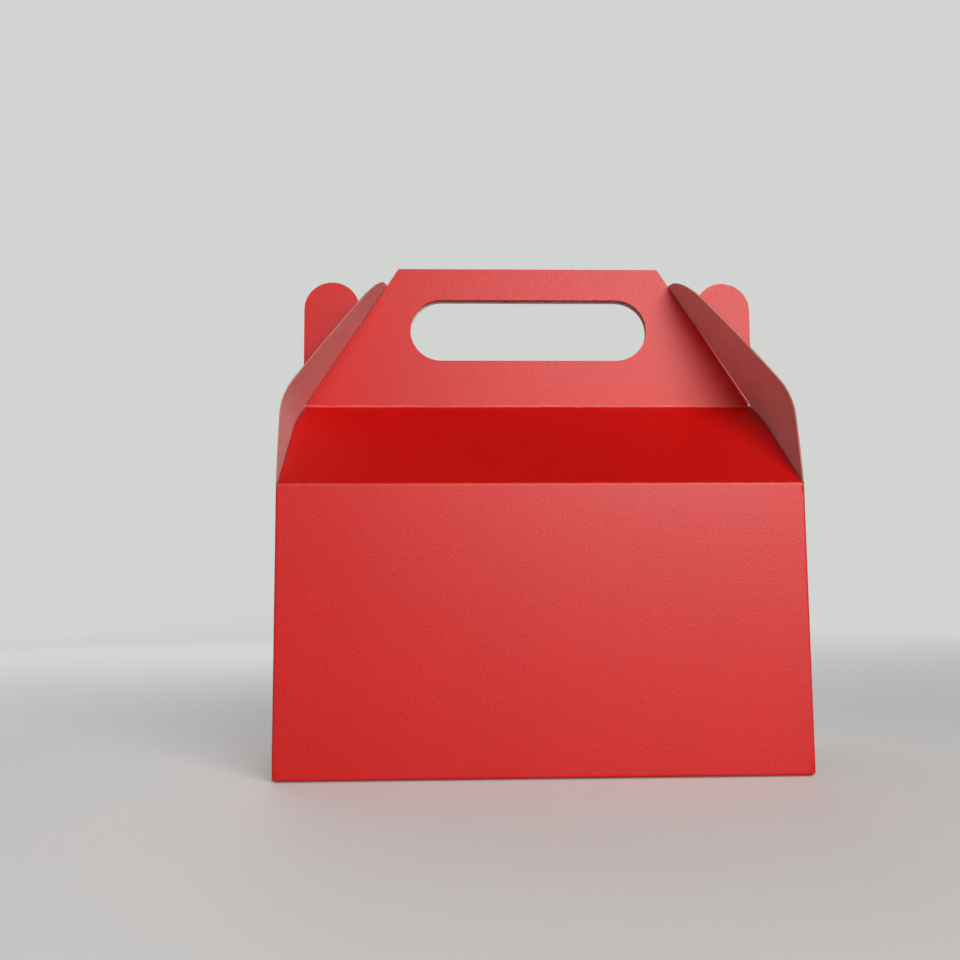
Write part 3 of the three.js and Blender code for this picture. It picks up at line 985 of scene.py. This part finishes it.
# The flap's half-width along its length: a long side curve that runs into the round tip
def flapOutline():
    sideSteps, tipSteps = 40, 24
    base = halfDepth - endFlap["inset"]
    tipRadius, sideRadius = endFlap["tipRadius"], endFlap["sideRadius"]
    tipCentre = slotEnd() + endFlap["tipBridge"] - tipRadius
    baseToTip = hypot(base, tipCentre)
    sideToTip = sideRadius - tipRadius
    corner = (baseToTip ** 2 + sideRadius ** 2 - sideToTip ** 2) / (2 * baseToTip * sideRadius)
    sideAngle = atan2(tipCentre, -base) + acos(corner)
    centre = Vector((base + sideRadius * cos(sideAngle), sideRadius * sin(sideAngle)))
    tipFrom = asin((tipCentre - centre.y) / sideToTip)
    half = []
    sideFrom = asin(-centre.y / sideRadius)
    for step in range(sideSteps + 1):
        angle = sideFrom + (tipFrom - sideFrom) * step / sideSteps
        half.append(Vector((centre.x + sideRadius * cos(angle), centre.y + sideRadius * sin(angle))))
    for step in range(1, tipSteps + 1):
        angle = tipFrom + (pi / 2 - tipFrom) * step / tipSteps
        half.append(Vector((tipRadius * cos(angle), tipCentre + tipRadius * sin(angle))))
    return half + [Vector((-point.x, point.y)) for point in reversed(half[:-1])]


# Where the part's own slot ends, past the ears' farthest reach from the hinge. It sets the flap's length.
def slotEnd():
    earRadius = ear["width"] / 2
    earUp = foldHeight + ear["top"] - earRadius - hingeHeight
    earReach = hypot(ear["inset"] + earRadius, earUp) + earRadius + card["seatGap"]
    start = uprightLength + kneeLength
    knee = flapPoint(start, 0, card["thickness"])
    toward = knee.dot(Vector((-sin(lean), 0, cos(lean))))
    reach = sqrt(toward ** 2 - knee.length_squared + earReach ** 2)
    return start - toward + reach + endFlap["slotCornerRadius"] / 2


# This slot is shorter than the part's: it ends just past the notch under the ear
def slotOutline():
    notchHeight = closedEdgeHeight(halfLength - ear["inset"] - ear["width"])
    low = flapAlongAt(foldHeight + endFlap["slotAboveFold"])
    high = flapAlongAt(notchHeight + endFlap["slotPastNotch"])
    radius = endFlap["slotCornerRadius"]
    half = handleFaceAt(foldHeight + ear["top"]) + card["seatGap"]
    corners = ((-half, low), (half, low), (half, high), (-half, high))
    return roundedLoop([(x, y, radius) for x, y in corners])


# Points along the rows of an end flap or its crease
def pointsOnRows(rowsUp):
    base = halfDepth - endFlap["inset"]
    spacing = card["flapSpacing"]
    count = int(2 * base / spacing) + 1
    return [(-base + spacing * step, up) for up in rowsUp for step in range(count)]


def buildEndFlap(name, side, finishes):
    loops = [flapOutline(), slotOutline()]
    rows = 12
    rowsUp = [uprightLength + kneeLength * row / rows for row in range(rows + 1)]

    def foldFlap(across, up, depth):
        point = flapPoint(up, -across, card["thickness"] - depth)
        return Vector((side * (halfLength + point.x), side * point.y, hingeHeight + point.z))

    # the flap's fold is paler: worn film, and partly a painted highlight
    def creaseWearAndHighlight(across, up):
        return creasing["flapFold"] * wornAndHighlighted(up, creasing["width"])

    flap = dieCut(f"{name}_card", loops, [], rowsUp, pointsOnRows(rowsUp), foldFlap, creaseWearAndHighlight,
                  finishes, card["flapSpacing"])
    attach(flap, name)
    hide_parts(name)


# The crease that joins an end flap to its end panel
def buildFlapCrease(name, side, finishes):
    half = halfDepth - endFlap["inset"]
    low, high = wallTop, hingeHeight + flapFoot
    loops = [[Vector((-half, low)), Vector((half, low)), Vector((half, high)), Vector((-half, high))]]
    rows = 6
    rowsUp = [low + (high - low) * row / rows for row in range(1, rows)]

    def foldCrease(across, up, depth):
        return Vector((side * (halfLength - depth), -side * across, up))

    # the whole crease strip is paler: worn film, and partly a painted highlight
    def creaseWearAndHighlight(across, up):
        return creasing["flapFold"]

    strip = dieCut(f"{name}_crease", loops, [], rowsUp, pointsOnRows(rowsUp), foldCrease, creaseWearAndHighlight,
                   finishes, card["flapSpacing"])
    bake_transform(strip)
    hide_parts(name)


bpy.context.scene.view_settings.view_transform = "Standard"
buildCamera()
buildWorld()
buildLamps()
buildStage()
print("stage and lamps are set")

cardFinishes = [laminatedFace(), insideFace(), cutEdge()]
buildCarton(cardFinishes)
print("carton is folded")
for flapName, flapSide in (("left_end_flap", -1), ("right_end_flap", 1)):
    buildEndFlap(flapName, flapSide, cardFinishes)
    buildFlapCrease(flapName, flapSide, cardFinishes)
print("end flaps are closed over the ears")
